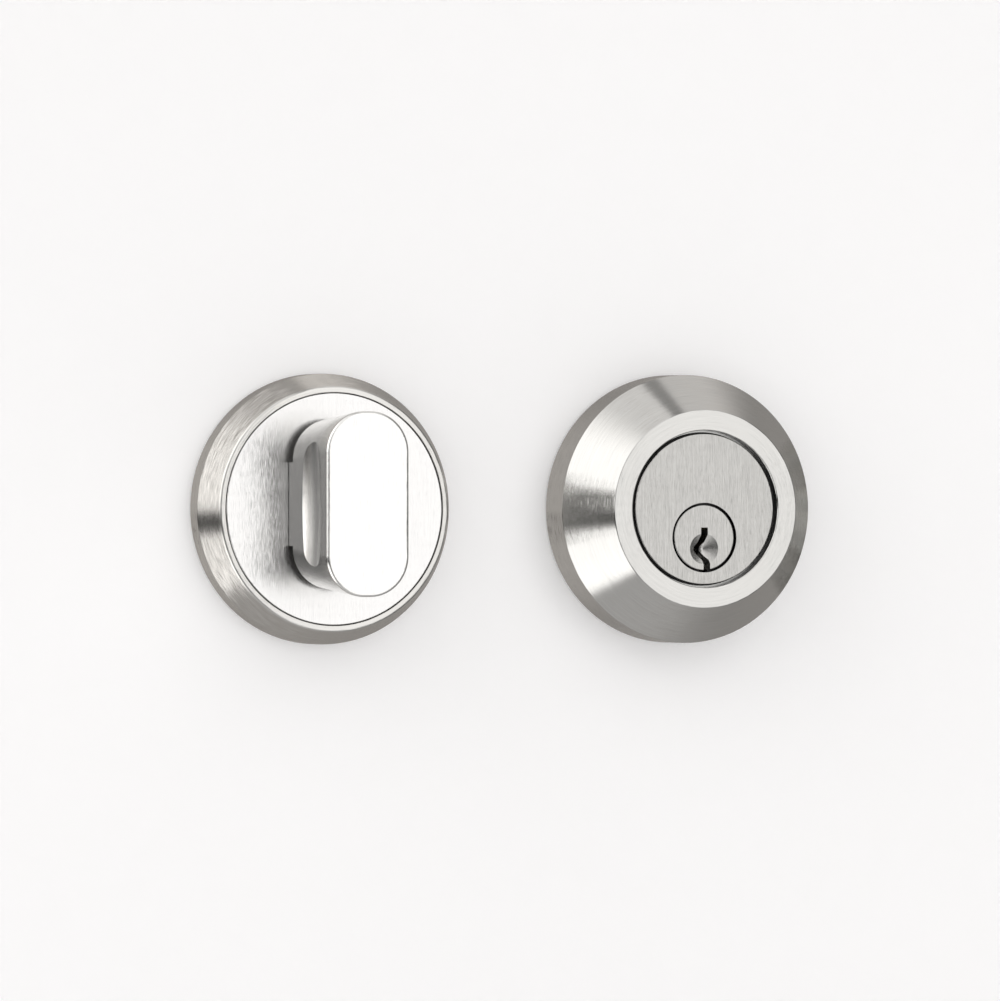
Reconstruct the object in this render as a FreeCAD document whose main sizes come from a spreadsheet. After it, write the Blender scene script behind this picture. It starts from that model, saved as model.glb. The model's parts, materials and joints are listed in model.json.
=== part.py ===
import FreeCAD, Part
import os
import re
import Sketcher

# A deadbolt door lock in stainless steel: a keyed exterior half, a thumbturn interior half and a bolt.
# Millimetres. X runs along the door towards its edge, Y into the door, Z up. The origin is the exterior
# collar's axis on the door's face. Both halves stand on that face side by side, facing -Y.

SIZES = {
    # the door and where things sit on it
    "door_thickness": 44.45,
    "half_spacing": 94.6,
    "backset": 60.0,
    "post_offset": 22.6,
    # exterior collar
    "rose_radius": 33.35,
    "collar_gap": 0.3,
    "collar_band": 10.9,
    "collar_depth": 23.3,
    "collar_land_radius": 24.5,
    "collar_bore_radius": 19.5,
    "collar_skirt_radius": 30.35,
    "collar_lip": 2.5,
    "collar_edge": 0.5,
    "washer_thickness": 0.4,
    # cylinder base and housing
    "base_radius": 30.27,
    "base_thickness": 2.0,
    "spigot_radius": 26.4,
    "spigot_length": 1.5,
    "post_radius": 3.3,
    "post_length": 20.0,
    "post_thread_radius": 2.2,
    "drum_radius": 18.75,
    "drum_recess": 0.7,
    "drum_tail": 6.0,
    "drum_shoulder_radius": 21.0,
    "drum_shoulder": 2.5,
    "drum_flange_radius": 24.5,
    "drum_flange": 2.5,
    "drum_screw_offset": 21.8,
    "drum_screw_radius": 1.4,
    "hard_pin_radius": 1.25,
    "hard_pin_offset": 9.6,
    "hard_pin_rise": 5.3,
    "hard_pin_length": 14.0,
    # key plug and pins
    "plug_drop": 7.1,
    "plug_face_radius": 8.1,
    "plug_face_hole": 8.65,
    "plug_flange": 2.3,
    "plug_radius": 6.35,
    "plug_clearance": 0.05,
    "plug_set_back": 0.2,
    "keyway_width": 1.8,
    "keyway_top": 2.5,
    "keyway_end": 0.8,
    "guide_radius": 3.8,
    "guide_depth": 1.5,
    "guide_drop": 2.8,
    "pin_radius": 1.42,
    "chamber_radius": 1.5,
    "chamber_top": 13.5,
    "pin_pitch": 3.96,
    "pin_first": 17.0,
    "pin_top": 6.15,
    "driver_bottom": 6.45,
    "driver_length": 5.2,
    "spring_radius": 1.1,
    "spring_wire": 0.18,
    "cover_width": 5.0,
    "cover_thickness": 1.4,
    "retainer_radius": 8.0,
    "retainer_thickness": 2.0,
    "tailpiece_width": 6.4,
    "tailpiece_thickness": 2.2,
    "tailpiece_end": 48.0,
    # bolt, measured from the spindle's axis
    "tube_rise": 3.2,
    "tube_radius": 12.5,
    "tube_wall": 1.2,
    "tube_start": 16.5,
    "bolt_radius": 11.2,
    "bolt_width": 16.0,
    "bolt_tail_end": 22.0,
    "bolt_proud": 0.3,
    "bolt_chamfer": 1.2,
    "saw_pin_radius": 3.0,
    "saw_pin_drop": 1.5,
    "saw_pin_length": 30.0,
    "frame_inside": 5.5,
    "frame_plate": 1.2,
    "frame_rear": 16.3,
    "frame_top": 13.9,
    "frame_bottom": 7.6,
    "tongue_length": 4.0,
    "tongue_half_height": 8.7,
    "hub_radius": 7.5,
    "hub_journal": 5.45,
    "hub_clearance": 0.05,
    "fork_half_width": 4.0,
    "fork_slot": 2.6,
    "fork_root": 10.9,
    "fork_reach": 18.8,
    "fork_thickness": 3.0,
    "tail_pin_height": 12.7,
    "tail_pin_radius": 1.5,
    "tail_inside": 2.0,
    "tail_strip": 2.0,
    "tail_low": 8.0,
    "tail_high": 11.0,
    "tail_hook": 14.9,
    "tail_plate": 1.5,
    "rivet_radius": 1.1,
    "faceplate_width": 25.4,
    "faceplate_height": 57.2,
    "faceplate_thickness": 1.6,
    "faceplate_corner": 3.2,
    "faceplate_screw_offset": 20.65,
    "faceplate_screw_radius": 2.0,
    # interior rose
    "rose_band": 4.9,
    "rose_depth": 12.3,
    "rose_land_radius": 30.1,
    "rose_seat_radius": 28.7,
    "rose_plate_radius": 28.5,
    "rose_plate_thickness": 2.3,
    "rose_skirt_radius": 30.4,
    "rose_edge": 0.6,
    "mount_plate_radius": 30.1,
    "through_bolt_radius": 2.1,
    "through_bolt_length": 40.0,
    "through_head_radius": 4.2,
    "turn_rise": 1.2,
    "bushing_bore": 8.0,
    "bushing_radius": 10.6,
    "bushing_flange": 13.5,
    "spindle_radius": 7.92,
    # thumbturn knob
    "knob_gap": 0.3,
    "knob_standoff": 3.0,
    "knob_front": 22.3,
    "knob_rear_width": 24.4,
    "knob_rear_height": 41.7,
    "knob_front_width": 21.5,
    "knob_front_height": 45.5,
    "knob_corner": 10.0,
    "knob_edge": 0.8,
    "neck_height": 20.5,
    "neck_width": 24.3,
    "scoop_across": 12.5,
    "scoop_along": 180.0,
    "scoop_depth": 1.8,
    "scoop_set_back": 10.55,
    "knob_screw_radius": 1.9,
}

document = FreeCAD.newDocument("DeadboltLock")
sheet = document.addObject("Spreadsheet::Sheet", "Dims")
for row, (alias, number) in enumerate(SIZES.items(), start=1):
    sheet.set(f"A{row}", alias)
    sheet.set(f"B{row}", str(number))
    sheet.setAlias(f"B{row}", alias)
document.recompute()

nodes = []


def bound(text):
    """An expression with every size name pointed at the spreadsheet."""
    return re.sub(r"[a-z_]+",
                  lambda word: "Dims." + word.group(0) if word.group(0) in SIZES else word.group(0),
                  str(text))


def value(text):
    """The number that an expression gives now."""
    return float(sheet.evalExpression(bound(text)))


def bind(thing, name, text):
    """Tie one property of an object to an expression."""
    thing.setExpression(name, bound(text))


def place(thing, x="0", y="0", z="0"):
    """Tie an object's position to three expressions."""
    for letter, text in zip("xyz", (x, y, z)):
        bind(thing, f"Placement.Base.{letter}", text)
    return thing


def node(thing, name):
    """Name an object as one separate piece of the lock."""
    thing.Label = name
    nodes.append(thing)
    return thing


# ---- sketches and bodies ----

def new_body(name):
    return document.addObject("PartDesign::Body", name)


def new_sketch(body, name, role, offset="0"):
    """A sketch on one of the body's own origin planes, moved along the plane's normal."""
    plane = next(item for item in body.Origin.OriginFeatures if item.Role == role)
    sketch = body.newObject("Sketcher::SketchObject", name)
    sketch.AttachmentSupport = [(plane, "")]
    sketch.MapMode = "FlatFace"
    bind(sketch, "AttachmentOffset.Base.z", offset)
    return sketch


def fix_point(sketch, geometry, end, across, up):
    """Hold one point of the sketch at two bound distances from its origin."""
    for kind, text in (("DistanceX", across), ("DistanceY", up)):
        index = sketch.addConstraint(Sketcher.Constraint(kind, -1, 1, geometry, end, value(text)))
        bind(sketch, f"Constraints[{index}]", text)


def draw_loop(sketch, corners):
    """A closed outline of straight lines through the corners, each corner bound."""
    points = [FreeCAD.Vector(value(across), value(up), 0) for across, up in corners]
    count = len(points)
    first = sketch.GeometryCount
    for index in range(count):
        sketch.addGeometry(Part.LineSegment(points[index], points[(index + 1) % count]), False)
    for index in range(count):
        following = first + (index + 1) % count
        sketch.addConstraint(Sketcher.Constraint("Coincident", first + index, 2, following, 1))
    for index, (across, up) in enumerate(corners):
        fix_point(sketch, first + index, 1, across, up)


def draw_rounded(sketch, width, height, corner):
    """A rectangle about the sketch's origin with a quarter circle at each corner."""
    half_x = value(f"{width} / 2")
    half_y = value(f"{height} / 2")
    round_ = value(corner)
    centres = [(1, 1), (-1, 1), (-1, -1), (1, -1)]
    ends = []
    for index, (right, top) in enumerate(centres):
        middle = FreeCAD.Vector(right * (half_x - round_), top * (half_y - round_), 0)
        circle = Part.Circle(middle, FreeCAD.Vector(0, 0, 1), round_)
        start = index * 1.5707963267948966
        sketch.addGeometry(Part.ArcOfCircle(circle, start, start + 1.5707963267948966), False)
        arc = sketch.Geometry[sketch.GeometryCount - 1]
        ends.append((arc.StartPoint, arc.EndPoint))
    for index in range(4):
        sketch.addGeometry(Part.LineSegment(ends[index][1], ends[(index + 1) % 4][0]), False)
        line = sketch.GeometryCount - 1
        sketch.addConstraint(Sketcher.Constraint("Tangent", index, 2, line, 1))
        sketch.addConstraint(Sketcher.Constraint("Tangent", line, 2, (index + 1) % 4, 1))
    for line in (4, 6):
        sketch.addConstraint(Sketcher.Constraint("Horizontal", line))
    for line in (5, 7):
        sketch.addConstraint(Sketcher.Constraint("Vertical", line))
    for index, (right, top) in enumerate(centres):
        if index in (0, 2):
            fix_point(sketch, index, 3, f"{right} * ({width} / 2 - {corner})",
                      f"{top} * ({height} / 2 - {corner})")
    index = sketch.addConstraint(Sketcher.Constraint("Radius", 0, round_))
    bind(sketch, f"Constraints[{index}]", corner)
    for arc in (1, 2, 3):
        sketch.addConstraint(Sketcher.Constraint("Equal", 0, arc))


def turned(name, corners, x="0", y="0", z="0"):
    """A body turned about the Y axis from an outline of radius and depth."""
    body = new_body(name)
    sketch = new_sketch(body, name + "_outline", "XY_Plane")
    draw_loop(sketch, corners)
    turn = body.newObject("PartDesign::Revolution", name + "_turned")
    turn.Profile = sketch
    turn.ReferenceAxis = (sketch, ["V_Axis"])
    turn.Angle = 360
    document.recompute()
    return place(body, x, y, z)


def padded(name, role, corners, start, length, x="0", y="0", z="0"):
    """A body raised from a straight-sided outline. XZ outlines grow towards -Y, YZ outlines towards +X."""
    body = new_body(name)
    sketch = new_sketch(body, name + "_outline", role, start)
    draw_loop(sketch, corners)
    pad = body.newObject("PartDesign::Pad", name + "_pad")
    pad.Profile = sketch
    bind(pad, "Length", length)
    document.recompute()
    return place(body, x, y, z)


def round_edges(body, radius, chosen):
    """Fillet the edges of the body's last feature for which the test holds."""
    last = body.Tip
    names = [f"Edge{index}" for index, edge in enumerate(last.Shape.Edges, start=1) if chosen(edge)]
    fillet = body.newObject("PartDesign::Fillet", body.Name + "_fillet")
    fillet.Base = (last, names)
    bind(fillet, "Radius", radius)
    document.recompute()
    return body


def ring_at(radius, depth):
    """A test for the circular edge of one radius at one depth, both expressions."""
    def chosen(edge):
        box = edge.BoundBox
        return (box.YLength < 0.001 and abs(box.YMin - value(depth)) < 0.001
                and abs(box.XMax - value(radius)) < 0.01)
    return chosen


# ---- primitives and booleans ----

TURNS = {
    "x": FreeCAD.Rotation(FreeCAD.Vector(0, 1, 0), 90),
    "y": FreeCAD.Rotation(FreeCAD.Vector(1, 0, 0), -90),
    "z": FreeCAD.Rotation(),
}


def rod(name, radius, length, x="0", y="0", z="0", along="y"):
    """A cylinder that starts at a point and runs along +X, +Y or +Z."""
    part = document.addObject("Part::Cylinder", name)
    bind(part, "Radius", radius)
    bind(part, "Height", length)
    part.Placement = FreeCAD.Placement(FreeCAD.Vector(), TURNS[along])
    return place(part, x, y, z)


def cone(name, radius_start, radius_end, length, x="0", y="0", z="0", along="y"):
    """A cone that starts at a point and runs along +X, +Y or +Z."""
    part = document.addObject("Part::Cone", name)
    bind(part, "Radius1", radius_start)
    bind(part, "Radius2", radius_end)
    bind(part, "Height", length)
    part.Placement = FreeCAD.Placement(FreeCAD.Vector(), TURNS[along])
    return place(part, x, y, z)


def block(name, size, corner):
    """A box from its size and its lowest corner, three expressions each."""
    part = document.addObject("Part::Box", name)
    for side, text in zip(("Length", "Width", "Height"), size):
        bind(part, side, text)
    return place(part, *corner)


def joined(name, parts):
    fuse = document.addObject("Part::MultiFuse", name)
    fuse.Shapes = parts
    fuse.Refine = True
    return fuse


def grouped(name, parts):
    """Several like pieces kept as one node of separate solids."""
    group = document.addObject("Part::Compound", name)
    group.Links = parts
    return group


def cut(name, base, tools):
    """The base with every tool taken out of it."""
    tool = tools[0] if len(tools) == 1 else joined(name + "_tools", tools)
    result = document.addObject("Part::Cut", name)
    result.Base = base
    result.Tool = tool
    result.Refine = True
    return result


def common(name, first, second):
    result = document.addObject("Part::Common", name)
    result.Base = first
    result.Tool = second
    return result


# ==== exterior half ====

collar = turned("collar_body", [
    ("collar_skirt_radius", "-collar_gap"),
    ("rose_radius", "-collar_gap"),
    ("rose_radius", "-collar_band"),
    ("collar_land_radius", "-collar_depth"),
    ("collar_bore_radius", "-collar_depth"),
    ("collar_bore_radius", "-collar_depth + collar_lip"),
    ("collar_bore_radius + 2.4", "-collar_depth + collar_lip"),
    ("collar_skirt_radius", "-collar_band + 1.4"),
])
round_edges(collar, "collar_edge", lambda edge: any(ring_at(radius, depth)(edge) for radius, depth in (
    ("rose_radius", "-collar_band"), ("collar_land_radius", "-collar_depth"),
    ("collar_bore_radius", "-collar_depth"))))
node(collar, "exterior_collar")

node(turned("collar_washer_body", [
    ("drum_radius + 0.3", "-collar_depth + collar_lip + 0.1"),
    ("drum_shoulder_radius + 0.4", "-collar_depth + collar_lip + 0.1"),
    ("drum_shoulder_radius + 0.4", "-collar_depth + collar_lip + 0.1 + washer_thickness"),
    ("drum_radius + 0.3", "-collar_depth + collar_lip + 0.1 + washer_thickness"),
]), "collar_washer")

base_disc = turned("base_disc", [
    ("drum_radius + 0.25", "-base_thickness"),
    ("base_radius", "-base_thickness"),
    ("base_radius", "0"),
    ("spigot_radius", "0"),
    ("spigot_radius", "spigot_length"),
    ("drum_radius + 0.25", "spigot_length"),
])
posts = [rod(f"post_{side}", "post_radius", "post_length + base_thickness", "0", "-base_thickness",
             sign + "post_offset")
         for side, sign in (("high", ""), ("low", "-"))]
threads = [rod(f"post_thread_{side}", "post_thread_radius", "post_length + 5", "0", "-4",
               sign + "post_offset")
           for side, sign in (("high", ""), ("low", "-"))]
drum_screw_holes = [rod(f"base_hole_{side}", "drum_screw_radius + 0.1", "10", sign + "drum_screw_offset",
                        "-4")
                    for side, sign in (("right", ""), ("left", "-"))]
node(cut("base_cut", joined("base_joined", [base_disc] + posts), threads + drum_screw_holes), "cylinder_base")

node(grouped("base_screw_pair", [
    joined(f"base_screw_{side}", [
        rod(f"base_screw_shank_{side}", "drum_screw_radius", "5.8", sign + "drum_screw_offset", "-4.3"),
        cone(f"base_screw_head_{side}", "2.6", "2.2", "1.5", sign + "drum_screw_offset", "spigot_length"),
    ]) for side, sign in (("right", ""), ("left", "-"))]), "base_screws")

shoulder = "-collar_depth + collar_lip + 0.1 + washer_thickness"
drum = turned("drum_body", [
    ("0", "-collar_depth + drum_recess"),
    ("drum_radius", "-collar_depth + drum_recess"),
    ("drum_radius", shoulder),
    ("drum_shoulder_radius", shoulder),
    ("drum_shoulder_radius", shoulder + " + drum_shoulder"),
    ("drum_radius", shoulder + " + drum_shoulder"),
    ("drum_radius", "-base_thickness - drum_flange"),
    ("drum_flange_radius", "-base_thickness - drum_flange"),
    ("drum_flange_radius", "-base_thickness"),
    ("drum_radius", "-base_thickness"),
    ("drum_radius", "drum_tail"),
    ("0", "drum_tail"),
])
round_edges(drum, "0.4", ring_at("drum_radius", "-collar_depth + drum_recess"))
drum_tools = [
    rod("plug_bore", "plug_radius + plug_clearance", "40", "0", "-30", "-plug_drop"),
    rod("plug_face_bore", "plug_face_hole", "5", "0", "-collar_depth + drum_recess + plug_flange + 0.3 - 5",
        "-plug_drop"),
    block("cover_slot", ("cover_width + 0.2", "40", "15"),
          ("-cover_width / 2 - 0.1", "-19.5", "chamber_top")),
]
drum_tools.append(block("keyway_relief", ("keyway_width + 0.4", "8", "4"),
                        ("0.75 - keyway_width / 2 - 0.2", "-collar_depth + drum_recess + plug_flange",
                         "-plug_drop - 9")))
for index in range(5):
    drum_tools.append(rod(f"chamber_{index}", "chamber_radius", "chamber_top + plug_drop + 1", "0",
                          f"-pin_first + {index} * pin_pitch", "-plug_drop", "z"))
for side, sign in (("right", ""), ("left", "-")):
    drum_tools.append(rod(f"hard_pin_hole_{side}", "hard_pin_radius", "40", sign + "hard_pin_offset", "-20.4",
                          "-plug_drop + hard_pin_rise"))
    drum_tools.append(rod(f"drum_hole_{side}", "drum_screw_radius", "3", sign + "drum_screw_offset", "-4.4"))
node(cut("drum_cut", drum, drum_tools), "cylinder_housing")

node(grouped("hard_pin_pair", [
    rod(f"hard_pin_{side}", "hard_pin_radius", "hard_pin_length", sign + "hard_pin_offset", "-20.4",
        "-plug_drop + hard_pin_rise") for side, sign in (("right", ""), ("left", "-"))]), "anti_drill_pins")

node(grouped("driver_pin_row", [
    rod(f"driver_pin_{index}", "pin_radius", "driver_length", "0", f"-pin_first + {index} * pin_pitch",
        "-plug_drop + driver_bottom", "z") for index in range(5)]), "driver_pins")

springs = []
for index in range(5):
    coil = document.addObject("Part::Helix", f"coil_{index}")
    bind(coil, "Radius", "spring_radius")
    bind(coil, "Height", "chamber_top + plug_drop - driver_bottom - driver_length - 0.5")
    bind(coil, "Pitch", "(chamber_top + plug_drop - driver_bottom - driver_length - 0.5) / 7")
    wire = document.addObject("Part::Circle", f"coil_wire_{index}")
    bind(wire, "Radius", "spring_wire")
    wire.Placement.Rotation = FreeCAD.Rotation(FreeCAD.Vector(1, 0, 0), 90)
    place(wire, "spring_radius")
    spring = document.addObject("Part::Sweep", f"spring_{index}")
    spring.Sections = [wire]
    spring.Spine = (coil, [])
    spring.Solid = True
    spring.Frenet = True
    place(spring, "0", f"-pin_first + {index} * pin_pitch",
          "-plug_drop + driver_bottom + driver_length + 0.25")
    springs.append(spring)
node(grouped("spring_row", springs), "pin_springs")

node(block("cover_strip", ("cover_width", "25.1", "cover_thickness"),
           ("-cover_width / 2", "-19.3", "chamber_top")),
     "chamber_cover")

# ---- key plug, turned about the plug's own axis ----

plug_face = "-collar_depth + drum_recess + plug_set_back"
plug = turned("plug_body", [
    ("0", plug_face),
    ("plug_face_radius", plug_face),
    ("plug_face_radius", plug_face + " + plug_flange"),
    ("plug_radius", plug_face + " + plug_flange"),
    ("plug_radius", "drum_tail + 0.2"),
    ("0", "drum_tail + 0.2"),
], z="-plug_drop")
round_edges(plug, "0.3", ring_at("plug_face_radius", plug_face))
# the keyway's centre line zigzags down the face: across and up from the plug's axis
KEYWAY = (("0.1", "keyway_top"), ("0.1", "0.6"), ("-0.5", "-1.1"), ("-1.7", "-2.3"), ("-1.8", "-3.2"),
          ("-0.6", "-4.6"), ("0.45", "-5.5"), ("0.75", "-6.5"), ("0.75", "-9"))
keyway = padded("keyway_tool", "XZ_Plane",
                [(across + " - keyway_width / 2", up) for across, up in KEYWAY]
                + [(across + " + keyway_width / 2", up) for across, up in reversed(KEYWAY)],
                "-keyway_end", "keyway_end + collar_depth", z="-plug_drop")
key_guide = cone("key_guide", "guide_radius", "0.3", "guide_depth", "0", plug_face,
                 "-plug_drop - guide_drop")
tail_slot = block("tail_slot", ("tailpiece_thickness + 0.1", "10", "tailpiece_width + 0.1"),
                  ("-tailpiece_thickness / 2 - 0.05", "2.4", "-plug_drop - tailpiece_width / 2 - 0.05"))
plug_tools = [keyway, key_guide, tail_slot]
for index in range(5):
    plug_tools.append(rod(f"plug_hole_{index}", "chamber_radius", "8",
                          "0", f"-pin_first + {index} * pin_pitch", "-plug_drop + 0.8", "z"))
for side, sign in (("right", ""), ("left", "-")):
    plug_tools.append(rod(f"plug_thread_{side}", "0.8", "8", sign + "4.2", "1.5", "-plug_drop"))
node(cut("plug_cut", plug, plug_tools), "key_plug")

KEY_PIN_LENGTHS = (3.2, 4.0, 2.9, 3.6, 4.2)
node(grouped("key_pin_row", [
    rod(f"key_pin_{index}", "pin_radius", str(length), "0", f"-pin_first + {index} * pin_pitch",
        f"-plug_drop + pin_top - {length}", "z") for index, length in enumerate(KEY_PIN_LENGTHS)]),
     "key_pins")

retainer_tools = [block("retainer_slot", ("tailpiece_thickness + 0.1", "20", "tailpiece_width + 0.1"),
                        ("-tailpiece_thickness / 2 - 0.05", "0", "-plug_drop - tailpiece_width / 2 - 0.05"))]
for side, sign in (("right", ""), ("left", "-")):
    retainer_tools.append(rod(f"retainer_hole_{side}", "0.9", "8", sign + "4.2", "4", "-plug_drop"))
node(cut("retainer_cut", rod("retainer_disc", "retainer_radius", "retainer_thickness", "0", "drum_tail + 0.3",
                             "-plug_drop"), retainer_tools), "plug_retainer")

node(grouped("retainer_screw_pair", [
    joined(f"retainer_screw_{side}", [
        rod(f"retainer_shank_{side}", "0.8", "drum_tail + 0.8", sign + "4.2", "1.5", "-plug_drop"),
        rod(f"retainer_head_{side}", "1.5", "1", sign + "4.2", "drum_tail + 0.3 + retainer_thickness",
            "-plug_drop"),
    ]) for side, sign in (("right", ""), ("left", "-"))]), "retainer_screws")

node(block("tailpiece_blade", ("tailpiece_thickness", "tailpiece_end - 2.4", "tailpiece_width"),
           ("-tailpiece_thickness / 2", "2.4", "-plug_drop - tailpiece_width / 2")), "tailpiece")

# ==== bolt, placed from the spindle's axis in the middle of the door ====

MID = "door_thickness / 2"
LOW = "-plug_drop"
TUBE = "-plug_drop + tube_rise"

node(cut("tube_cut",
         rod("tube_outside", "tube_radius", "backset - faceplate_thickness - tube_start", "tube_start", MID,
             TUBE, "x"),
         [rod("tube_inside", "tube_radius - tube_wall", "backset", "tube_start - 5", MID, TUBE, "x")]),
     "case_tube")

side_plates = []
for side, inner in (("back", "frame_inside"), ("front", "-frame_inside - frame_plate")):
    side_plates.append(block(f"frame_side_{side}", ("tube_start + frame_rear + frame_plate", "frame_plate",
                                                    "frame_top + frame_bottom"),
                             ("-frame_rear - frame_plate", f"{MID} + {inner}", f"{LOW} - frame_bottom")))
    side_plates.append(block(f"frame_tongue_{side}",
                             ("tongue_length + 1", "frame_plate", "2 * tongue_half_height"),
                             ("tube_start - 1", f"{MID} + {inner}", f"{TUBE} - tongue_half_height")))
side_plates.append(block("frame_web",
                         ("frame_plate", "2 * frame_inside + 2 * frame_plate", "frame_top + frame_bottom"),
                         ("-frame_rear - frame_plate", f"{MID} - frame_inside - frame_plate",
                          f"{LOW} - frame_bottom")))
node(cut("frame_cut", joined("frame_joined", side_plates),
         [rod("frame_hub_hole", "hub_journal + hub_clearance", "30", "0", f"{MID} - 15", LOW)]), "case_frame")

fork = padded("fork_body", "XZ_Plane", [
    ("-fork_half_width", "0"),
    ("fork_half_width", "0"),
    ("fork_half_width", "fork_reach"),
    ("fork_slot", "fork_reach"),
    ("fork_slot", "fork_root"),
    ("-fork_slot", "fork_root"),
    ("-fork_slot", "fork_reach"),
    ("-fork_half_width", "fork_reach"),
], "-fork_thickness / 2", "fork_thickness")
# with the bolt drawn in the forked arm leans back 45 degrees and the blade slot stands upright
fork.Placement.Rotation = FreeCAD.Rotation(FreeCAD.Vector(0, 1, 0), -45)
fork_round = common("fork_round", fork, rod("fork_limit", "fork_reach", "20", "0", "-10"))
hub_barrel = rod("hub_barrel", "hub_radius", "2 * frame_inside - 0.2", "0", "-frame_inside + 0.1")
hub_journals = rod("hub_journals", "hub_journal", "2 * frame_inside + 2 * frame_plate + 0.6", "0",
                   "-frame_inside - frame_plate - 0.3")
hub = cut("hub_cut", joined("hub_joined", [hub_barrel, hub_journals, fork_round]), [
    block("hub_slot", ("tailpiece_thickness + 0.4", "40", "tailpiece_width + 0.4"),
          ("-tailpiece_thickness / 2 - 0.2", "-20", "-tailpiece_width / 2 - 0.2"))])
node(place(hub, "0", MID, LOW), "bolt_hub")

PIN_X = "-tail_pin_height"
tail_parts = []
for side, start in (("back", "-tail_inside"), ("front", "tail_inside + tail_strip")):
    tail_parts.append(padded(f"tail_bar_{side}", "XZ_Plane", [
        (PIN_X + " - 2.5", "tail_low"),
        ("bolt_tail_end - 0.5", "tail_low"),
        ("bolt_tail_end - 0.5", "tail_high"),
        (PIN_X + " + 3.9", "tail_high"),
        (PIN_X + " + 2.5", "tail_hook"),
        (PIN_X + " - 2.5", "tail_hook"),
    ], f"{start} - tail_strip", "tail_strip"))
tail_parts.append(block("tail_end_plate", ("tail_plate", "10", "18.5"),
                        ("bolt_tail_end - tail_plate", "-5", "-6.5")))
tail_holes = [rod("tail_pin_hole", "tail_pin_radius", "20", PIN_X, "-10", "tail_pin_height")]
for level, rise in (("high", "9.5"), ("low", "-4.5")):
    tail_holes.append(rod(f"tail_rivet_hole_{level}", "rivet_radius", "10", "bolt_tail_end - 5", "0",
                          rise, "x"))
node(place(cut("tail_cut", joined("tail_joined", tail_parts), tail_holes), "0", MID, LOW), "bolt_tail")

node(rod("tail_pin_rod", "tail_pin_radius", "2 * tail_inside + 2 * tail_strip", PIN_X,
         f"{MID} - tail_inside - tail_strip", f"{LOW} + tail_pin_height"), "tail_pin")

node(grouped("tail_rivet_pair", [
    joined(f"tail_rivet_{level}", [
        rod(f"rivet_shank_{level}", "rivet_radius", "7", "bolt_tail_end - tail_plate", MID,
            f"{LOW} + {rise}", "x"),
        rod(f"rivet_head_{level}", "1.8", "0.8", "bolt_tail_end - tail_plate - 0.8", MID,
            f"{LOW} + {rise}", "x"),
    ]) for level, rise in (("high", "9.5"), ("low", "-4.5"))]), "tail_rivets")

bolt_bar = common("bolt_bar",
                  rod("bolt_round", "bolt_radius", "backset + bolt_proud - bolt_tail_end", "bolt_tail_end",
                      MID, TUBE, "x"),
                  block("bolt_flats", ("backset", "bolt_width", "40"),
                        ("bolt_tail_end - 1", f"{MID} - bolt_width / 2", f"{TUBE} - 20")))
bolt_nose = joined("bolt_nose", [
    rod("nose_body", "bolt_radius", "backset", "-bolt_chamfer", MID, TUBE, "x"),
    cone("nose_cone", "bolt_radius", "bolt_radius - bolt_chamfer", "bolt_chamfer + bolt_proud",
         "backset - bolt_chamfer",
         MID, TUBE, "x")])
bolt_holes = [rod("saw_pin_bore", "saw_pin_radius + 0.07", "saw_pin_length + 1.5", "bolt_tail_end", MID,
                  f"{TUBE} - saw_pin_drop", "x")]
for level, rise in (("high", "9.5"), ("low", "-4.5")):
    bolt_holes.append(rod(f"bolt_rivet_hole_{level}", "rivet_radius", "5.5", "bolt_tail_end", MID,
                          f"{LOW} + {rise}",
                          "x"))
node(cut("bolt_cut", common("bolt_shaped", bolt_bar, bolt_nose), bolt_holes), "bolt")

node(rod("saw_pin_rod", "saw_pin_radius", "saw_pin_length", "bolt_tail_end + 0.5", MID,
         f"{TUBE} - saw_pin_drop",
         "x"), "anti_saw_pin")

SCREWS = (("high", "faceplate_screw_offset"), ("low", "-faceplate_screw_offset"))
for name, start, opening in (("faceplate", "backset - faceplate_thickness", "bolt_radius + 0.3"),
                             ("backplate", "backset - 2 * faceplate_thickness", "tube_radius")):
    sheet_body = padded(name + "_sheet", "YZ_Plane", [
        ("-faceplate_width / 2", "-faceplate_height / 2"),
        ("faceplate_width / 2", "-faceplate_height / 2"),
        ("faceplate_width / 2", "faceplate_height / 2"),
        ("-faceplate_width / 2", "faceplate_height / 2"),
    ], start, "faceplate_thickness", y=MID, z=TUBE)
    round_edges(sheet_body, "faceplate_corner",
                lambda edge: edge.BoundBox.YLength < 0.001 and edge.BoundBox.ZLength < 0.001)
    holes = [rod(name + "_opening", opening, "10", "backset - 5", MID, TUBE, "x")]
    if name == "faceplate":
        holes = [common("faceplate_opening_flat", holes[0],
                        block("opening_flats", ("20", "bolt_width + 0.6", "40"),
                              ("backset - 10", f"{MID} - bolt_width / 2 - 0.3", f"{TUBE} - 20")))]
    for level, offset in SCREWS:
        holes.append(cone(f"{name}_sink_{level}", "faceplate_screw_radius", "faceplate_screw_radius + 2.3",
                          "2.4",
                          "backset - 2.4", MID, f"{TUBE} + {offset}", "x"))
        holes.append(rod(f"{name}_hole_{level}", "faceplate_screw_radius + 0.1", "10", "backset - 6", MID,
                         f"{TUBE} + {offset}", "x"))
    node(cut(name + "_cut", sheet_body, holes), name)

node(grouped("faceplate_screw_pair", [
    joined(f"faceplate_screw_{level}", [
        cone(f"screw_head_{level}", "faceplate_screw_radius", "faceplate_screw_radius + 2.2", "2.3",
             "backset - 2.4",
             MID, f"{TUBE} + {offset}", "x"),
        rod(f"screw_shank_{level}", "faceplate_screw_radius", "14", "backset - 16.4", MID,
            f"{TUBE} + {offset}", "x"),
        cone(f"screw_point_{level}", "0.2", "faceplate_screw_radius", "5", "backset - 21.4", MID,
             f"{TUBE} + {offset}", "x"),
    ]) for level, offset in SCREWS]), "faceplate_screws")

# ==== interior half, beside the exterior half ====

SIDE = "-half_spacing"

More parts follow.
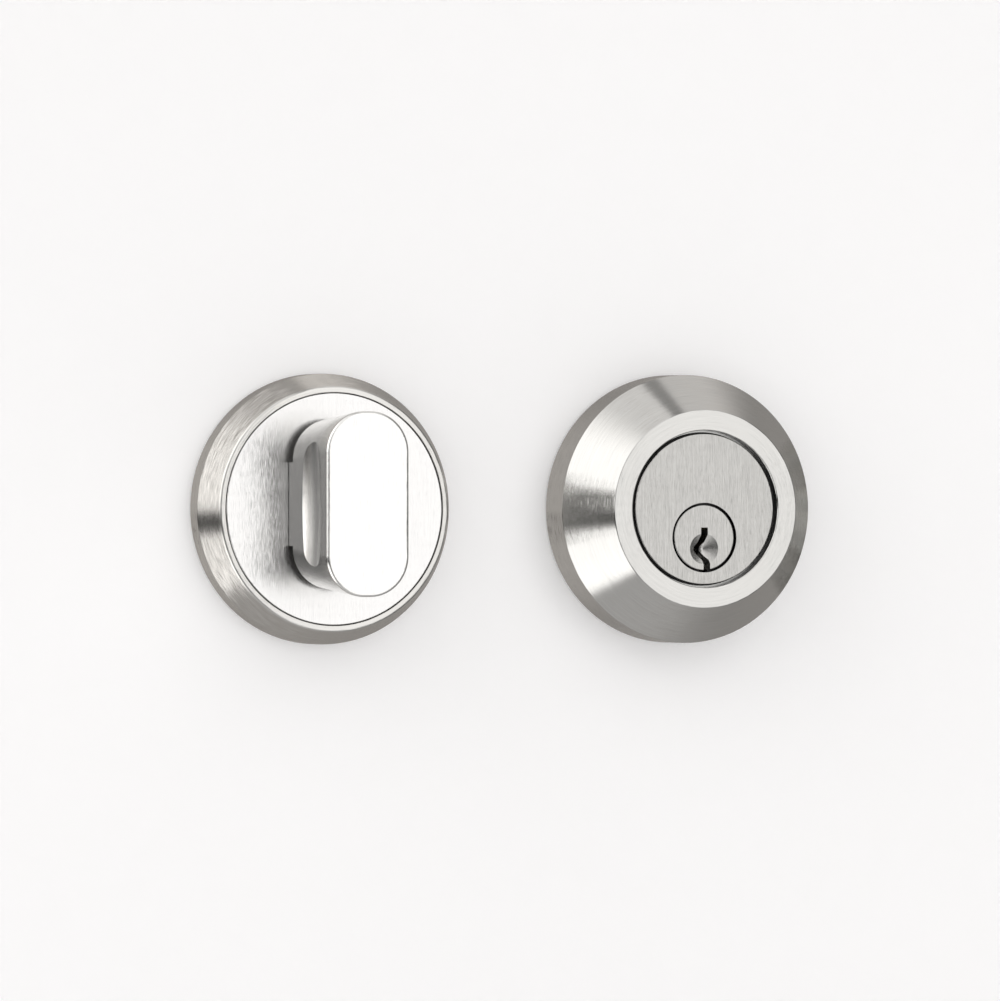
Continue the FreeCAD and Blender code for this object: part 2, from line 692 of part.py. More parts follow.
rose = turned("rose_body", [
    ("rose_skirt_radius", "0"),
    ("rose_radius", "0"),
    ("rose_radius", "-rose_band"),
    ("rose_land_radius", "-rose_depth"),
    ("rose_seat_radius", "-rose_depth"),
    ("rose_seat_radius", "-rose_depth + rose_plate_thickness"),
    ("rose_seat_radius - 2.2", "-rose_depth + rose_plate_thickness"),
    ("rose_seat_radius - 2.2", "-rose_depth + rose_plate_thickness + 1.6"),
    ("rose_skirt_radius - 1.1", "-rose_depth + rose_plate_thickness + 1.6"),
    ("rose_skirt_radius", "-rose_band + 0.3"),
], SIDE)
round_edges(rose, "rose_edge", lambda edge: any(ring_at(radius, depth)(edge) for radius, depth in (
    ("rose_radius", "-rose_band"), ("rose_land_radius", "-rose_depth"))))
node(cut("rose_cut", rose, [rod("rose_screw_hole", "1.65", "10", SIDE, "-2.45", "-35", "z")]),
     "interior_rose")

face_disc = turned("face_disc_body", [
    ("0", "-rose_depth"),
    ("rose_plate_radius", "-rose_depth"),
    ("rose_plate_radius", "-rose_depth + rose_plate_thickness"),
    ("0", "-rose_depth + rose_plate_thickness"),
], SIDE)
round_edges(face_disc, "0.2", ring_at("rose_plate_radius", "-rose_depth"))
node(cut("face_disc_cut", face_disc,
         [rod("face_disc_hole", "bushing_radius + 0.05", "10", SIDE, "-15", "turn_rise")]),
     "rose_face_plate")

mount_disc = turned("mount_disc_body", [
    ("11", "-base_thickness"),
    ("mount_plate_radius", "-base_thickness"),
    ("mount_plate_radius", "0"),
    ("11", "0"),
], SIDE)
LEVELS = (("high", "post_offset"), ("low", "-post_offset"))
node(cut("mount_cut", mount_disc, [
    rod(f"mount_hole_{level}", "through_bolt_radius + 0.3", "10", SIDE, "-5", offset) for level,
                                   offset in LEVELS]),
     "interior_mounting_plate")

node(grouped("through_bolt_pair", [
    joined(f"through_bolt_{level}", [
        rod(f"through_shank_{level}", "through_bolt_radius", "through_bolt_length", SIDE, "-base_thickness",
            offset),
        rod(f"through_head_{level}", "through_head_radius", "2.4", SIDE, "-base_thickness - 2.4", offset),
    ]) for level, offset in LEVELS]), "through_bolts")

node(rod("rose_screw_rod", "1.6", "2.9", SIDE, "-2.45", "-mount_plate_radius - 2.9", "z"), "rose_set_screw")

node(turned("bushing_body", [
    ("bushing_bore", "-rose_depth + 0.3"),
    ("bushing_radius", "-rose_depth + 0.3"),
    ("bushing_radius", "-rose_depth + rose_plate_thickness"),
    ("bushing_flange", "-rose_depth + rose_plate_thickness"),
    ("bushing_flange", "-rose_depth + rose_plate_thickness + 1.5"),
    ("bushing_radius", "-rose_depth + rose_plate_thickness + 1.5"),
    ("bushing_radius", "-5"),
    ("bushing_bore", "-5"),
], SIDE, "0", "turn_rise"), "turn_bushing")

node(turned("friction_washer_body", [
    ("bushing_bore + 0.2", "-4.9"),
    ("bushing_radius - 0.4", "-4.9"),
    ("bushing_radius - 0.4", "-4.1"),
    ("bushing_bore + 0.2", "-4.1"),
], SIDE, "0", "turn_rise"), "friction_washer")

spindle = turned("spindle_body", [
    ("0", "-rose_depth - 6.7"),
    ("spindle_radius", "-rose_depth - 6.7"),
    ("spindle_radius", "-4"),
    ("spindle_radius - 0.9", "-4"),
    ("spindle_radius - 0.9", "-3"),
    ("spindle_radius", "-3"),
    ("spindle_radius", "-2.2"),
    ("0", "-2.2"),
], SIDE, "0", "turn_rise")
node(cut("spindle_cut", spindle, [
    block("spindle_slot", ("tailpiece_thickness + 0.4", "20", "tailpiece_width + 0.4"),
          (SIDE + " - tailpiece_thickness / 2 - 0.2", "-12", "turn_rise - tailpiece_width / 2 - 0.2"))]),
     "turn_spindle")

clip = cut("clip_ring", rod("clip_outside", "spindle_radius + 2", "1", SIDE, "-4", "turn_rise"),
           [rod("clip_inside", "spindle_radius - 0.9", "3", SIDE, "-5", "turn_rise"),
            block("clip_gap", ("7", "4", "20"), (SIDE + " - 3.5", "-6", "0"))])
node(clip, "retaining_ring")

# ---- thumbturn knob: two rounded outlines lofted, a neck, and a shallow dish in each flank ----

REAR = "-rose_depth - knob_standoff"
FRONT = "-rose_depth - knob_front"
knob = new_body("knob_body")
rear_outline = new_sketch(knob, "knob_rear_outline", "XZ_Plane", "rose_depth + knob_standoff")
draw_rounded(rear_outline, "knob_rear_width", "knob_rear_height", "knob_corner")
front_outline = new_sketch(knob, "knob_front_outline", "XZ_Plane", "rose_depth + knob_front")
draw_rounded(front_outline, "knob_front_width", "knob_front_height", "knob_corner")
loft = knob.newObject("PartDesign::AdditiveLoft", "knob_loft")
loft.Profile = rear_outline
loft.Sections = [front_outline]
document.recompute()
place(knob, SIDE, "0", "turn_rise")
round_edges(knob, "knob_edge", lambda edge: edge.BoundBox.YLength < 0.001
            and abs(edge.BoundBox.YMin - value(FRONT)) < 0.001)
neck = padded("knob_neck", "XZ_Plane", [
    ("-neck_width / 2", "-neck_height / 2"),
    ("neck_width / 2", "-neck_height / 2"),
    ("neck_width / 2", "neck_height / 2"),
    ("-neck_width / 2", "neck_height / 2"),
], "rose_depth + knob_gap", "knob_standoff - knob_gap + 0.5", SIDE, "0", "turn_rise")
knob_tools = [rod("spindle_socket", "spindle_radius", "10", SIDE, "-rose_depth - 6.7", "turn_rise"),
              rod("knob_screw_hole", "knob_screw_radius + 0.1", "30", SIDE, "-rose_depth - 4.9", "-30", "z")]
HALF = "((knob_rear_width + knob_front_width) / 4)"
for side, sign in (("right", 1), ("left", -1)):
    dish = document.addObject("Part::Torus", f"scoop_{side}")
    bind(dish, "Radius1", "scoop_along - scoop_across")
    bind(dish, "Radius2", "scoop_across")
    taper = (value("knob_rear_width") - value("knob_front_width")) / 2
    lean = taper / (value("knob_front") - value("knob_standoff"))
    dish.Placement.Rotation = FreeCAD.Rotation(FreeCAD.Vector(0, 0, 1), FreeCAD.Vector(sign * lean, 1, 0))
    place(dish, f"{SIDE} + {sign} * ({HALF} + scoop_along - scoop_depth)",
          f"{REAR} - scoop_set_back - scoop_along * {lean:.4f}", "turn_rise")
    knob_tools.append(dish)
node(cut("knob_cut", joined("knob_joined", [knob, neck]), knob_tools), "thumbturn_knob")

node(rod("knob_screw_rod", "knob_screw_radius", "5", SIDE, "-rose_depth - 4.9",
         "turn_rise - spindle_radius - 5",
         "z"),
     "knob_set_screw")

# ==== check and export ====

document.recompute()
for thing in document.Objects:
    if "Invalid" in thing.State or "Error" in thing.State:
        raise RuntimeError(f"{thing.Label} did not recompute: {thing.State}")

os.makedirs("parts", exist_ok=True)
for piece in nodes:
    shape = piece.Shape
    if shape.isNull() or not shape.isValid() or shape.Volume <= 0:
        raise RuntimeError(f"{piece.Label} has no valid solid")
    shape.exportStep(f"parts/{piece.Label}.step")
    print(f"{piece.Label:26s} solids {len(shape.Solids)}  volume {shape.Volume:9.1f} mm3")
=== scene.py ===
# %% [markdown]
# # A deadbolt door lock in stainless steel
# The lock's working frame comes from the CAD model: every pin, screw and spring is already in its place.
# This notebook gives each piece its finish, and makes the three turned pieces that the eye goes to first,
# the collar, the rose and its face plate, again as fine smooth surfaces in the same places.

# %% Load the frame
import json
import math

import bpy
import numpy as np
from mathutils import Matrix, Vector


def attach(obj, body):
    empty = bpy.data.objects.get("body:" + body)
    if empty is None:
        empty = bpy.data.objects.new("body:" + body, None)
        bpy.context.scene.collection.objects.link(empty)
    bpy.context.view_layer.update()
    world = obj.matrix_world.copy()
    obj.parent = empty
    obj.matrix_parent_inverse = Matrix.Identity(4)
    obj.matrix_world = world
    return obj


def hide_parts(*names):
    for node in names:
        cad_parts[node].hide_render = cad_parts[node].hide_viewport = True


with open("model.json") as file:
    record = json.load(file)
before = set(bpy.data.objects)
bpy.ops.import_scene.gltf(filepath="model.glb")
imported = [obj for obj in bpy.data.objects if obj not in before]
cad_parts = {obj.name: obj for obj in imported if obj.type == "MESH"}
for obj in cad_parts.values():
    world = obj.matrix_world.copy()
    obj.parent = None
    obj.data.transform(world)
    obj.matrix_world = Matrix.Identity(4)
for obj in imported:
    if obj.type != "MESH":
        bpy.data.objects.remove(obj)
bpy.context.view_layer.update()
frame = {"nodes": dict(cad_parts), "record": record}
MM = 0.001
print("pieces in the frame:", len(frame["nodes"]))

# %% [markdown]
# ## Wrapping shader sockets
# A material is a graph of small nodes joined by wires. Dragged about by hand it is quick to start and
# slow to read back. Here one class wraps a node's output socket, so that sums in the script read like
# sums: adding or multiplying two wires puts in the Math node for it, and `make` adds any other node.

# %% The socket class
class Wire:
    """One output socket. Arithmetic on it adds Math nodes to the same tree."""

    def __init__(self, tree, socket):
        self.tree = tree
        self.socket = socket

    def make(self, kind, settings=None, inputs=None, output=0):
        """Adds a node, sets its settings, then its sockets from numbers, tuples or other wires."""
        made = self.tree.nodes.new(kind)
        for name, setting in (settings or {}).items():
            setattr(made, name, setting)
        for name, given in (inputs or {}).items():
            if isinstance(given, Wire):
                self.tree.links.new(given.socket, made.inputs[name])
            else:
                made.inputs[name].default_value = given
        return Wire(self.tree, made.outputs[output])

    def math(self, operation, *others):
        given = dict(enumerate((self, *others)))
        return self.make("ShaderNodeMath", {"operation": operation}, given)

    def vector(self, operation, *others):
        given = dict(enumerate((self, *others)))
        return self.make("ShaderNodeVectorMath", {"operation": operation}, given)

    def __add__(self, other):
        return self.math("ADD", other)

    def __radd__(self, other):
        return self.math("ADD", other)

    def __sub__(self, other):
        return self.math("SUBTRACT", other)

    def __rsub__(self, other):
        back = self.math("MULTIPLY", -1.0)
        return back.math("ADD", other)

    def __mul__(self, other):
        return self.math("MULTIPLY", other)

    def __rmul__(self, other):
        return self.math("MULTIPLY", other)

    def __truediv__(self, other):
        return self.math("DIVIDE", other)

    def step(self, low, high):
        """0 below low, 1 above high, and a smooth rise between."""
        return self.make("ShaderNodeMapRange", {"interpolation_type": "SMOOTHSTEP"},
                         {"Value": self, "From Min": low, "From Max": high})

    def to_world(self):
        """A direction on the piece as a direction in the world, so that it turns when the piece turns."""
        return self.make("ShaderNodeVectorTransform",
                         {"vector_type": "VECTOR", "convert_from": "OBJECT", "convert_to": "WORLD"},
                         {"Vector": self})

    def xyz(self):
        """The three parts of a vector."""
        return [self.make("ShaderNodeSeparateXYZ", {}, {"Vector": self}, part) for part in range(3)]


print("socket class ready")

# %% [markdown]
# ## Three helpers for materials
# Most finishes start alike: a Principled shader with a few fixed numbers, and the Object coordinate,
# which stays with a piece when it moves, so that the scratches on the thumbturn turn with it. A mix of
# two colours by a wire is the other thing that every finish needs.

# %% Material helpers
def joined(x, y, z):
    """A vector made of three wires or numbers, the first of them a wire."""
    return x.make("ShaderNodeCombineXYZ", {}, {"X": x, "Y": y, "Z": z})


def mixed(share, first, second):
    """A colour that goes from the first to the second as share goes from 0 to 1."""
    return share.make("ShaderNodeMix", {"data_type": "RGBA"}, {0: share, 6: first, 7: second}, 2)


def new_material(name, metallic=1.0, roughness=0.3):
    """A material with one Principled shader; returns it, the shader node and the Object coordinate wire."""
    material = bpy.data.materials.new(name)
    material.use_nodes = True
    tree = material.node_tree
    shader = tree.nodes["Principled BSDF"]
    shader.inputs["Metallic"].default_value = metallic
    shader.inputs["Roughness"].default_value = roughness
    place = Wire(tree, tree.nodes.new("ShaderNodeTexCoord").outputs["Object"])
    return material, shader, place


def feed(shader, name, wire):
    """Links a wire to one of the shader's sockets."""
    wire.tree.links.new(wire.socket, shader.inputs[name])


print("material helpers ready")

# %% [markdown]
# ## Brushed and turned steel
# A satin finish is thousands of fine scratches that all run one way. The face plate is rubbed on a belt,
# so its scratches are upright; the collar and the rose are turned, so theirs run round the axis. Light
# spreads widely across the scratches and hardly at all along them. The shader has an anisotropy setting
# for this, but its direction has to be wired in. A very fine noise, drawn out along the scratches, that
# tips the surface's normal from side to side across them does the same with plain nodes, and it works at
# any angle.

# %% Scratched steel
FINE = 26000.0
FINE_ALONG = 400.0
FINE_BEHIND = 19000.0
FINE_ROUND = 9.0
STREAK = 2600.0
STREAK_ALONG = 90.0
STREAK_BEHIND = 1900.0
STREAK_ROUND = 3.0
# painted shade: the near-black colour that stands in for the shadow deep in the fine gaps, and how far it
# fades in
PAINTED_GAP_SHADE = (0.03, 0.03, 0.03, 1)
SOFT_EDGE = 0.00005
PAINTED_SHADE_FADE = 0.0002


def scratched_steel(name, centre=None, colour=(0.62, 0.61, 0.59), spread=0.2, roughness=0.2, shade=0.06,
                    gaps=()):
    """Steel scratched up and down, or round the Y axis through centre (x, z) when one is given.

    FINE and STREAK are how often the fine scratches and the wider streaks repeat in a metre across the run,
    ALONG it, BEHIND (towards the wall) and ROUND the axis. Each gap (x, z, inner radius, outer radius, depth)
    is a ring round Y, painted near-black behind that depth as painted shade for the shadow in the gap.
    """
    material, shader, place = new_material(name)
    x, y, z = place.xyz()
    normal = place.make("ShaderNodeNewGeometry", {}, {}, 1)
    if centre is None:
        # the scratch runs along Z, so the noise changes quickly along X and slowly along Z
        across = place.make("ShaderNodeCombineXYZ", {}, {"X": 1.0, "Y": 0.0, "Z": 0.0}).to_world()
        fine_at = joined(x * FINE, y * FINE, z * FINE_ALONG)
        streak_at = joined(x * STREAK, y * STREAK, z * STREAK_ALONG)
    else:
        from_x = x - centre[0]
        from_z = z - centre[1]
        radius = (from_x * from_x + from_z * from_z).math("SQRT") + 1e-6
        turn_x = from_x / radius
        turn_z = from_z / radius
        run = joined(turn_z, 0.0, turn_x * -1.0).to_world()
        across = run.vector("CROSS_PRODUCT", normal)
        fine_at = joined(turn_x * FINE_ROUND, radius * FINE + y * FINE_BEHIND, turn_z * FINE_ROUND)
        streak_at = joined(turn_x * STREAK_ROUND, radius * STREAK + y * STREAK_BEHIND, turn_z * STREAK_ROUND)
    fine = place.make("ShaderNodeTexNoise", {}, {"Vector": fine_at, "Scale": 1.0, "Detail": 1.0}) - 0.5
    streak = place.make("ShaderNodeTexNoise", {}, {"Vector": streak_at, "Scale": 1.0, "Detail": 3.0}) - 0.5
    tip = fine * (spread * 4.0) + streak * (spread * 0.08)
    tipped = normal.vector("ADD", across.make("ShaderNodeVectorMath", {"operation": "SCALE"},
                                              {0: across, "Scale": tip}))
    feed(shader, "Normal", tipped.vector("NORMALIZE"))
    dark = tuple(part * (1 - shade) for part in colour)
    light = tuple(min(1.0, part * (1 + shade)) for part in colour)
    steel = mixed((streak * 1.6 + 0.5).math("MAXIMUM", 0.0), (*dark, 1), (*light, 1))
    # painted shade: each gap ring is made near-black behind its depth, standing in for the shadow inside the
    # gap
    for gap_x, gap_z, inner, outer, depth in gaps:
        ring_x = x - gap_x
        ring_z = z - gap_z
        ring = (ring_x * ring_x + ring_z * ring_z).math("SQRT")
        painted_shade = ring.step(inner, inner + SOFT_EDGE) * (1 - ring.step(outer - SOFT_EDGE, outer))
        painted_shade = painted_shade * y.step(depth, depth + PAINTED_SHADE_FADE)
        steel = mixed(painted_shade, steel, PAINTED_GAP_SHADE)
    feed(shader, "Base Color", steel)
    feed(shader, "Roughness", streak * 0.06 + roughness)
    return material


print("scratched steel ready")

# %% [markdown]
# ## Six finishes of the same steel
# Nothing on the lock has paint on it: the pieces differ in how they are rubbed and in how bright the rubbing
# leaves them. The two fine gaps, round the cylinder and round the plug, get painted shade: their steel is
# made near-black behind the face, standing in for the shadow deep inside them.

# %% Steel finishes
# each gap is (x, z, inner radius, outer radius, depth) in metres; behind the depth it gets painted shade
DRUM_GAP = (0.0, 0.0, 0.0187, 0.0196, -0.0229)
PLUG_GAP = (0.0, -0.0071, 0.00805, 0.0087, -0.0222)
INTERIOR = (-0.0946, 0.0)
EXTERIOR = (0.0, 0.0)
finishes = {
    "collar": scratched_steel("turned steel, collar", EXTERIOR, (0.58, 0.575, 0.56), roughness=0.15,
                              gaps=(DRUM_GAP,)),
    "rose": scratched_steel("turned steel, rose", INTERIOR, (0.66, 0.65, 0.63), spread=0.22, roughness=0.22),
    "face": scratched_steel("steel brushed upright, face plate", None, (0.79, 0.785, 0.78), spread=0.16,
                            roughness=0.22, shade=0.04),
    "upright": scratched_steel("steel brushed upright", None, (0.62, 0.615, 0.60), spread=0.24,
                               roughness=0.26),
    "drum": scratched_steel("steel brushed upright, drum", None, (0.50, 0.495, 0.48), spread=0.22,
                            roughness=0.25, shade=0.1, gaps=(DRUM_GAP, PLUG_GAP)),
    "knob": scratched_steel("steel brushed upright, knob", None, (0.84, 0.835, 0.82), spread=0.16,
                            roughness=0.2, shade=0.04),
}
print("finishes:", ", ".join(finishes))

# %% [markdown]
# ## Plain metals
# The pieces inside are not polished. Cast zinc is a little mottled, zinc plate is grey with a faint
# yellow and blue cast, brass pins are turned. A cloud noise moves the colour and the roughness a little,
# and fine bumps give the skin of each.

# %% Plain metal
def plain_metal(name, dark, light, roughness=0.35, grain=900.0, bump=0.05, metallic=1.0):
    """Metal whose colour goes between two near tones with a cloud noise."""
    material, shader, place = new_material(name, metallic, roughness)
    cloud = place.make("ShaderNodeTexNoise", {}, {"Vector": place, "Scale": grain * 0.25, "Detail": 4.0})
    fine = place.make("ShaderNodeTexNoise", {}, {"Vector": place, "Scale": grain * 4.0, "Detail": 2.0})
    feed(shader, "Base Color", mixed(cloud.step(0.35, 0.65), (*dark, 1), (*light, 1)))
    feed(shader, "Roughness", cloud * 0.25 + (roughness - 0.12))
    feed(shader, "Normal",
         place.make("ShaderNodeBump", {}, {"Strength": bump * 4, "Distance": 0.0001, "Height": fine}))
    return material


plain = {
    "plain_steel": plain_metal("plain bright steel", (0.46, 0.46, 0.45), (0.56, 0.56, 0.55), 0.3),
    "zinc_plated_steel": plain_metal("zinc plated steel", (0.50, 0.51, 0.50), (0.60, 0.59, 0.55), 0.34,
                                     500.0),
    "cast_zinc": plain_metal("cast zinc", (0.40, 0.40, 0.41), (0.50, 0.50, 0.50), 0.5, 1200.0, 0.12),
    "hardened_steel": plain_metal("hardened steel", (0.16, 0.16, 0.17), (0.26, 0.26, 0.27), 0.34),
    "brass": plain_metal("turned brass", (0.62, 0.44, 0.18), (0.74, 0.56, 0.27), 0.28),
    "bushing_plastic": plain_metal("pale acetal", (0.70, 0.69, 0.64), (0.78, 0.77, 0.72), 0.45, 700.0, 0.03,
                                   0.0),
}
print("plain metals:", ", ".join(plain))

# %% [markdown]
# ## Each piece gets its finish
# The record names a material for every node. Pieces with a visible satin face take one of the steels
# above, and the rest take the plain metal of their kind.

# %% Finishes on the frame
own = {
    "cylinder_housing": finishes["drum"], "key_plug": finishes["drum"],
    "faceplate": finishes["upright"], "bolt": finishes["drum"],
    "exterior_collar": finishes["collar"], "interior_rose": finishes["rose"],
    "rose_face_plate": finishes["face"], "thumbturn_knob": finishes["knob"],
}
for part in frame["record"]["subparts"]:
    piece = frame["nodes"][part["node"]]
    piece.data.materials.clear()
    piece.data.materials.append(own.get(part["node"]) or plain[part["material_slot"]])

# %% [markdown]
# ## A rounded outline
# The corners of a turned piece are never knife sharp: each has a small round, and that round is what
# catches a line of light. A Bevel modifier could cut them, but it takes one width for all. Here each
# corner of the outline has its own rounding.

# %% Rounded outline
def rounded_outline(corners, steps=7):
    """A closed outline from (radius, depth, rounding) corners in millimetres.

    Each corner is cut back by its rounding times tan(half the turn) along both sides, and the arc between is
    walked in equal angles; two more points a little further out keep the flats flat under smooth shading.
    """
    points = np.array([corner[:2] for corner in corners], float)
    out = []
    for index, corner in enumerate(corners):
        here = points[index]
        before = points[index - 1] - here
        after = points[(index + 1) % len(points)] - here
        before /= np.linalg.norm(before)
        after /= np.linalg.norm(after)
        half = math.acos(np.clip(np.dot(before, after), -1, 1)) / 2
        radius = corner[2]
        back = radius / math.tan(half)
        middle = here + (before + after) / np.linalg.norm(before + after) * radius / math.sin(half)
        start = here + before * back - middle
        end = here + after * back - middle
        share = np.linspace(0, 1, steps)[:, None]
        sweep = math.pi - 2 * half
        arc = (np.sin((1 - share) * sweep) * start + np.sin(share * sweep) * end) / math.sin(sweep) + middle
        support = min(0.12, radius * 0.35)
        out.append(here + before * (back + support))
        out.extend(arc)
        out.append(here + after * (back + support))
    return np.array(out)


print("outline helper ready")

# %% [markdown]
# ## A lathe
# A lathe makes the collar and the rose, so the same idea makes the mesh: the outline of radius and depth
# is carried round the axis. The Screw modifier does this too; a grid worked out with numpy gives the same
# surface with every seam closed and the number of turns plain to see.

# %% Lathe
def surface(name, grid):
    """A mesh of quads over a grid of points [across, along, 3] in metres, closed both ways."""
    across, along = grid.shape[:2]
    number = np.arange(across * along).reshape(across, along)
    second = np.roll(number, -1, 0)
    quads = np.stack([number, second, np.roll(second, -1, 1), np.roll(number, -1, 1)], -1).reshape(-1, 4)
    mesh = bpy.data.meshes.new(name)
    mesh.vertices.add(across * along)
    mesh.vertices.foreach_set("co", grid.reshape(-1))
    mesh.loops.add(quads.size)
    mesh.loops.foreach_set("vertex_index", quads.reshape(-1))
    mesh.polygons.add(len(quads))
    mesh.polygons.foreach_set("loop_start", np.arange(0, quads.size, 4))
    mesh.polygons.foreach_set("loop_total", np.full(len(quads), 4))
    mesh.update()
    mesh.validate()
    mesh.shade_smooth()
    made = bpy.data.objects.new(name, mesh)
    bpy.context.scene.collection.objects.link(made)
    return made


def lathe(name, corners, centre, hole_rise=0.0, turns=288):
    """The outline carried round Y: x = centre + radius cos a, y = depth, z = centre + radius sin a + rise.

    The rise is 0 at the largest radius and hole_rise at the smallest, so the hole can sit off centre.
    """
    outline = rounded_outline(corners) * MM
    radius, depth = outline.T
    rise = hole_rise * MM * (radius.max() - radius) / (radius.max() - radius.min())
    angle = np.linspace(0, 2 * math.pi, turns, endpoint=False)[:, None]
    grid = np.stack([centre[0] + np.cos(angle) * radius, np.broadcast_to(depth, (turns, len(depth))),
                     centre[1] + np.sin(angle) * radius + rise], -1)
    return surface(name, grid)


print("lathe ready")

# %% [markdown]
# ## The collar, the rose and the face plate
# The collar is a thick cone with a plain band behind it and a flat land round the cylinder. The rose is a
# shallow one, with a seat for its face plate. The face plate is a disc whose hole sits a little above its
# centre, where the thumbturn's spindle comes through.

# %% Turned pieces
def dress(piece, node, body, finish):
    """Puts a new surface in the place of a CAD node."""
    piece.data.materials.append(finish)
    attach(piece, body)
    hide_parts(node)
    print(piece.name, len(piece.data.polygons), "faces")


# each corner of a section is (radius, depth, rounding) in millimetres
COLLAR_SECTION = [
    (30.35, -0.3, 0.2), (33.35, -0.3, 0.25), (33.35, -10.9, 0.5), (24.5, -23.3, 0.45), (19.5, -23.3, 0.35),
    (19.5, -20.8, 0.3), (21.9, -20.8, 0.5), (30.35, -9.5, 0.8)]
ROSE_SECTION = [
    (30.4, 0.0, 0.2), (33.35, 0.0, 0.3), (33.35, -4.9, 0.8), (30.1, -12.3, 0.8), (28.7, -12.3, 0.15),
    (28.7, -10.0, 0.2), (26.5, -10.0, 0.3), (26.5, -8.4, 0.3), (29.3, -8.4, 0.3), (30.4, -4.6, 0.4)]
FACE_PLATE_SECTION = [
    (10.65, -12.3, 0.15), (28.5, -12.3, 0.25), (28.5, -10.0, 0.2), (10.65, -10.0, 0.2)]
HOLE_RISE = 1.2
dress(lathe("collar_surface", COLLAR_SECTION, EXTERIOR),
      "exterior_collar", "collar", finishes["collar"])
dress(lathe("rose_surface", ROSE_SECTION, INTERIOR),
      "interior_rose", "lock_case", finishes["rose"])
dress(lathe("face_plate_surface", FACE_PLATE_SECTION, INTERIOR, HOLE_RISE),
      "rose_face_plate", "lock_case", finishes["face"])

# %% [markdown]
# ## The stage
# A pale wall stands where the door's face is, so the halves throw their soft shade on it, and a pale
# floor lies below. The wall is clear from behind, so that the bolt can be looked at from there. Neither
# is seen in reflections, because in a studio it is the soft boxes that metal shows.

# %% Stage
def flat_sheet(name, corners, shade):
    """One rectangle from its four corners, with a plain matt finish."""
    mesh = bpy.data.meshes.new(name)
    mesh.from_pydata(corners, [], [(0, 1, 2, 3)])
    sheet = bpy.data.objects.new(name, mesh)
    bpy.context.scene.collection.objects.link(sheet)
    material, shader, _ = new_material(name, 0.0, 0.9)
    shader.inputs["Base Color"].default_value = (*shade, 1)
    mesh.materials.append(material)
    return sheet, material, shader


WALL_Y = 0.0006
FLOOR_Z = -0.13
wall, wall_material, wall_shader = flat_sheet(
    "wall", [(-3, WALL_Y, -0.6), (3, WALL_Y, -0.6), (3, WALL_Y, 3), (-3, WALL_Y, 3)], (0.93, 0.925, 0.93))
wall_shader.inputs["Emission Color"].default_value = (1.0, 1.0, 1.0, 1.0)
wall_shader.inputs["Emission Strength"].default_value = 0.12
wall.visible_glossy = False
tree = wall_material.node_tree
clear = Wire(tree, tree.nodes.new("ShaderNodeBsdfTransparent").outputs[0])
rear = clear.make("ShaderNodeNewGeometry", {}, {}, 6)
both = clear.make("ShaderNodeMixShader", {}, {0: rear, 1: Wire(tree, wall_shader.outputs[0]), 2: clear})
tree.links.new(both.socket, tree.nodes["Material Output"].inputs["Surface"])
floor, *_ = flat_sheet(
    "floor", [(-3, -3, FLOOR_Z), (3, -3, FLOOR_Z), (3, 3, FLOOR_Z), (-3, 3, FLOOR_Z)], (0.9, 0.9, 0.9))
floor.visible_glossy = False
print("stage: wall and floor")

# %% [markdown]
# ## Soft studio light
# Bright metal mostly shows what stands round it, so the light is made for its shape. Two big soft boxes
# stand to the left, one high and one low, with a dark gap between them that draws the dark bar on each
# cone. A third box in front whitens the flat faces, and the rest is dim. Area lamps would do it; a world
# that is a function of direction gives the same boxes with no falloff and no noise. Each number in a step
# is a direction, from -1 to 1 along that axis. What the camera sees directly is plain white.

# %% World light
world = bpy.data.worlds.new("soft studio")
bpy.context.scene.world = world
world.use_nodes = True
tree = world.node_tree
tree.nodes.clear()
way = Wire(tree, tree.nodes.new("ShaderNodeTexCoord").outputs["Generated"])
way_x, way_y, way_z = way.xyz()
ahead = 1 - way_y.step(0.25, 0.6)
upper = (1 - way_x.step(0.0, 0.05)) * way_z.step(-0.04, 0.0) * ahead
upper = upper * (0.45 + 0.55 * (1 - way_x.step(-0.75, -0.3)))
lower = (1 - way_x.step(-0.62, -0.54)) * (1 - way_z.step(-0.27, -0.23)) * ahead
crown = way_x.step(0.15, 0.19) * (1 - way_x.step(0.45, 0.85)) * way_z.step(0.45, 0.7)
foot = (1 - way_z.step(-0.95, -0.4)) * (1 - way_x.step(0.0, 0.7)) * ahead
front = (1 - way_y.step(-0.75, -0.45)) * way_x.step(-0.05, 0.15)
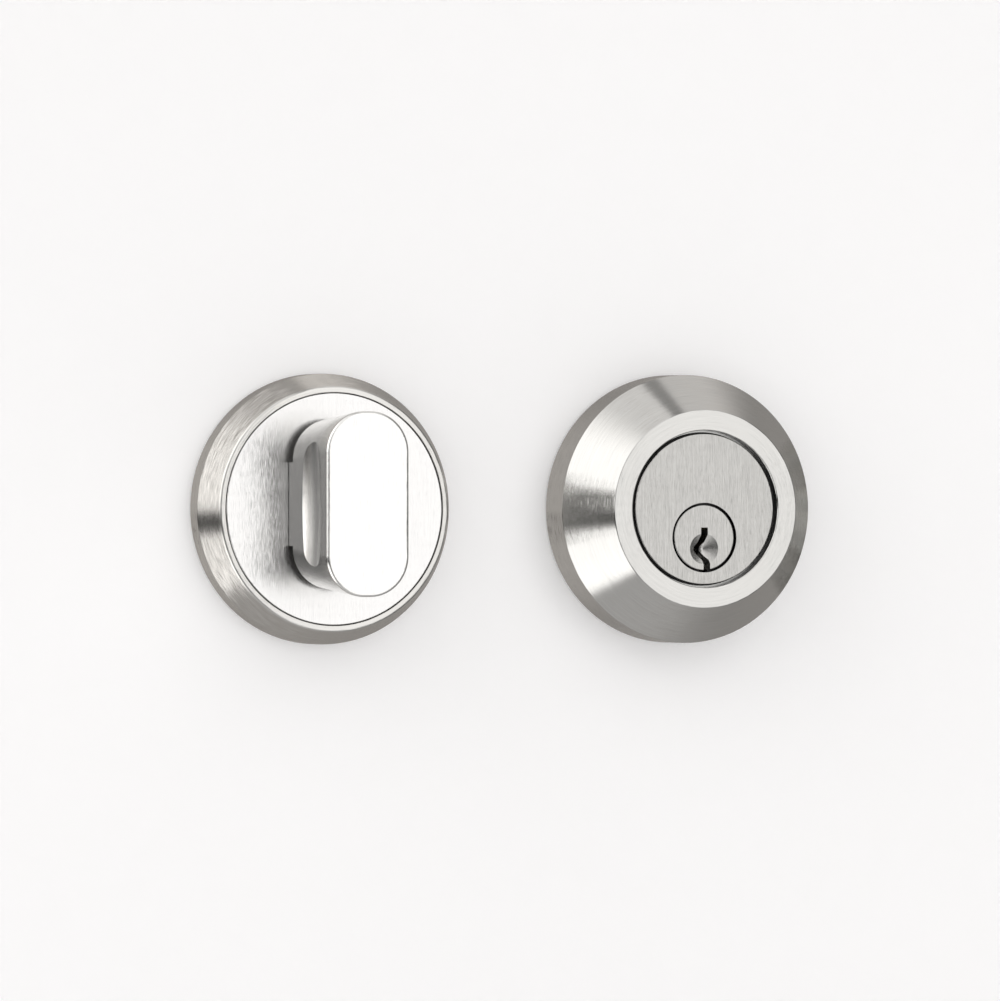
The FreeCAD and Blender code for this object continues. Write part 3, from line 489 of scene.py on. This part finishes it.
gap = (1 - way_x.step(-0.56, -0.44)) * way_z.step(-0.26, -0.22) * (1 - way_z.step(-0.05, -0.01))
behind = way_y.step(0.7, 0.9) * (1 - way_x.step(-0.2, 0.1))
camera_side = (1 - way_y.step(-0.8, -0.4)) * (1 - way_x.step(-0.3, -0.05))
camera_side = camera_side * (1 - way_z.math("ABSOLUTE").step(0.3, 0.6))
level = 0.36 + upper * 1.45 + lower * 1.45 + crown * 0.45 + foot * 0.2 + front + behind * 0.18
right = way_x.step(0.5, 0.8) * (1 - way_y.step(-0.2, 0.1))
level = level * (1 - gap * 0.95) * (1 - right * 0.7) * (1 - camera_side * 0.7)
seen = way.make("ShaderNodeLightPath", {}, {}, 0)
strength = level + seen * (1.0 - level)
warmth = mixed(way_y.step(0.0, 0.7) * (1 - seen), (1.0, 0.99, 0.98, 1.0), (1.0, 0.95, 0.9, 1.0))
glow = way.make("ShaderNodeBackground", {}, {"Color": warmth, "Strength": strength})
out = tree.nodes.new("ShaderNodeOutputWorld")
tree.links.new(glow.socket, out.inputs["Surface"])
print("world: soft boxes to the left, a dim back")

# %% [markdown]
# ## The camera
# A long lens from three metres away keeps the rings nearly round, as in a catalogue. It looks level, from
# 22.5 degrees to the left of straight on, and a strip 250 mm wide fills the frame.

# %% Camera
scene = bpy.context.scene
scene.view_settings.view_transform = "Standard"
VIEW = math.radians(22.5)
DISTANCE = 3.0
WIDTH = 0.250
across = Vector((math.cos(VIEW), -math.sin(VIEW), 0))
towards = Vector((math.sin(VIEW), math.cos(VIEW), 0))
AIM_ACROSS = -0.04205
AIM_UP = 0.0021
aim = across * AIM_ACROSS + Vector((0, 0, AIM_UP))
camera_data = bpy.data.cameras.new("camera")
camera_data.sensor_width = 36
camera_data.lens = 36 * DISTANCE / WIDTH
camera = bpy.data.objects.new("camera", camera_data)
scene.collection.objects.link(camera)
camera.location = aim - towards * DISTANCE
camera.rotation_euler = (math.pi / 2, 0, -VIEW)
scene.camera = camera
print("camera lens", round(camera_data.lens), "mm")
